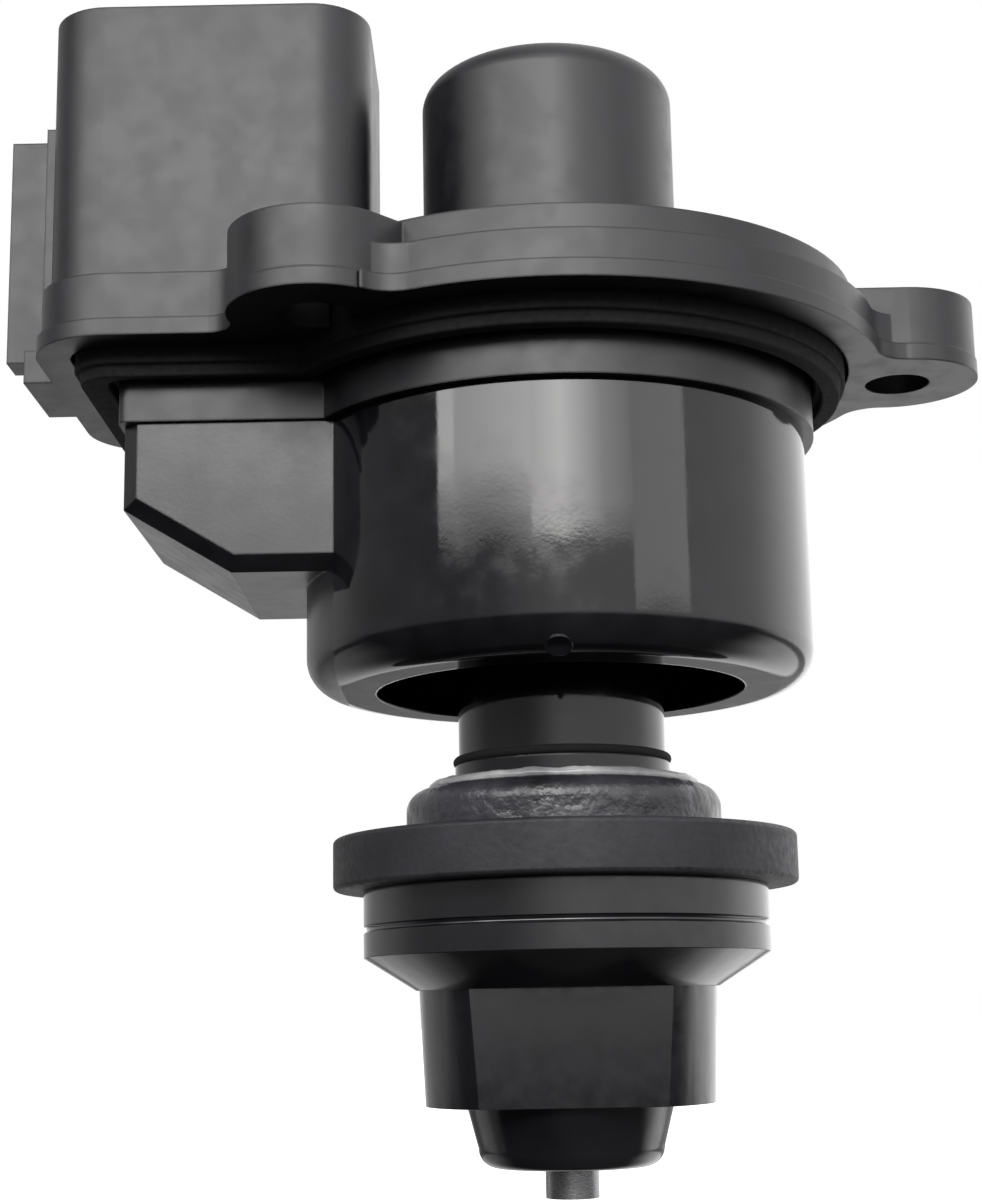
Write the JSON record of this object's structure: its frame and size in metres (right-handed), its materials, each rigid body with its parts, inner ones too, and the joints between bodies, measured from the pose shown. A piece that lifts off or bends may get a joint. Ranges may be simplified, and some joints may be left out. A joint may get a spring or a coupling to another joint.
{
  "type": "idle air control valve",
  "caption": "Stepper-driven idle air control valve: moulded flanged body with a side connector and a stepped plug that a lead screw moves in and out.",
  "frame": {"origin": "centre of the motor axis at the flange's mounting face", "axes": "+Z along the motor axis from the plug to the rear boss and the connector's mouth; -X towards the connector"},
  "size_m": [0.0759, 0.0508, 0.0892],
  "materials": {
    "glass_filled_nylon": "semi-gloss moulded",
    "seal_rubber": "matt",
    "tinned_brass": "tinned",
    "pole_steel": "zinc plated",
    "natural_nylon": "satin",
    "copper_winding": "enamelled",
    "bearing_steel": "ground",
    "ferrite_magnet": "matt",
    "screw_steel": "blackened",
    "plug_rubber": "satin",
    "plug_plastic": "satin moulded"
  },
  "bodies": {
    "housing": {"upper_housing": "glass_filled_nylon", "motor_case": "glass_filled_nylon", "body_seal": "seal_rubber", "terminal_1": "tinned_brass", "terminal_2": "tinned_brass", "terminal_3": "tinned_brass", "terminal_4": "tinned_brass", "terminal_5": "tinned_brass", "terminal_6": "tinned_brass", "upper_pole_cup": "pole_steel", "upper_pole_plate": "pole_steel", "upper_bobbin": "natural_nylon", "upper_coil": "copper_winding", "lower_pole_cup": "pole_steel", "lower_pole_plate": "pole_steel", "lower_bobbin": "natural_nylon", "lower_coil": "copper_winding", "rear_bearing_outer_ring": "bearing_steel", "rear_bearing_balls": "bearing_steel", "front_bearing_outer_ring": "bearing_steel", "front_bearing_balls": "bearing_steel"},
    "rotor": {"rotor_hub": "natural_nylon", "rotor_magnet": "ferrite_magnet", "rear_bearing_inner_ring": "bearing_steel", "front_bearing_inner_ring": "bearing_steel"},
    "plug": {"lead_screw": "screw_steel", "plug_collar": "plug_rubber", "plug_seat_disc": "plug_rubber", "plug_body": "plug_plastic"}
  },
  "joints": [
    {"name": "rotor_spin", "type": "hinge", "parent": "housing", "child": "rotor", "pos_m": [0, 0, 0], "axis": [0, 0, 1], "range_deg": [0, 1620]},
    {"name": "plug_slide", "type": "slide", "parent": "housing", "child": "plug", "axis": [0, 0, -1], "range_m": [0, 0.009]}
  ],
  "couplings": [
    {"joint": "rotor_spin", "follows": "plug_slide", "rad_per_m": 3141.6}
  ]
}
